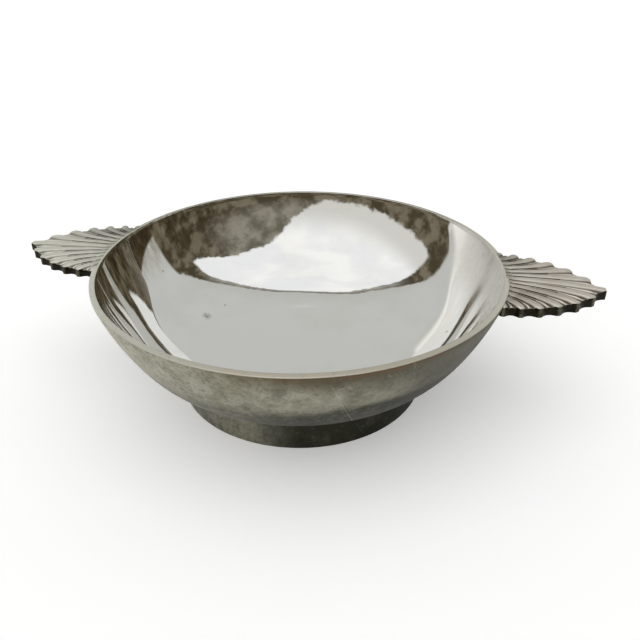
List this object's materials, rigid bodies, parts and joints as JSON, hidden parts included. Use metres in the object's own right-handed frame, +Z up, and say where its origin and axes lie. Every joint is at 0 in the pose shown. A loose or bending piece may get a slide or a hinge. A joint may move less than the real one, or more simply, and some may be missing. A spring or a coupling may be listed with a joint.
{
  "type": "footed bowl",
  "caption": "Shallow round bowl on a low ring foot, with flat ribbed fan handles on opposite sides of the rim, polished inside and dull outside.",
  "frame": {"origin": "on the bowl's axis, at the flat underside of the foot that it stands on", "axes": "+Z up along the bowl's axis, +X through the middle of the right handle"},
  "size_m": [0.1724, 0.12, 0.0396],
  "materials": {
    "bowl_pewter": "pewter, polished to a mirror inside, satin on the lip, and dull grey-green and mottled outside",
    "foot_pewter": "dull, tarnished pewter with fine turning lines",
    "handle_pewter": "cast pewter, satin on the ribs and dark in the grooves and on the edge",
    "solder": "dull, hand-run solder"
  },
  "bodies": {
    "root": {"bowl": "bowl_pewter", "foot_ring": "foot_pewter", "foot_solder": "solder", "handle_right": "handle_pewter", "handle_solder_right": "solder", "handle_left": "handle_pewter", "handle_solder_left": "solder"}
  },
  "joints": []
}
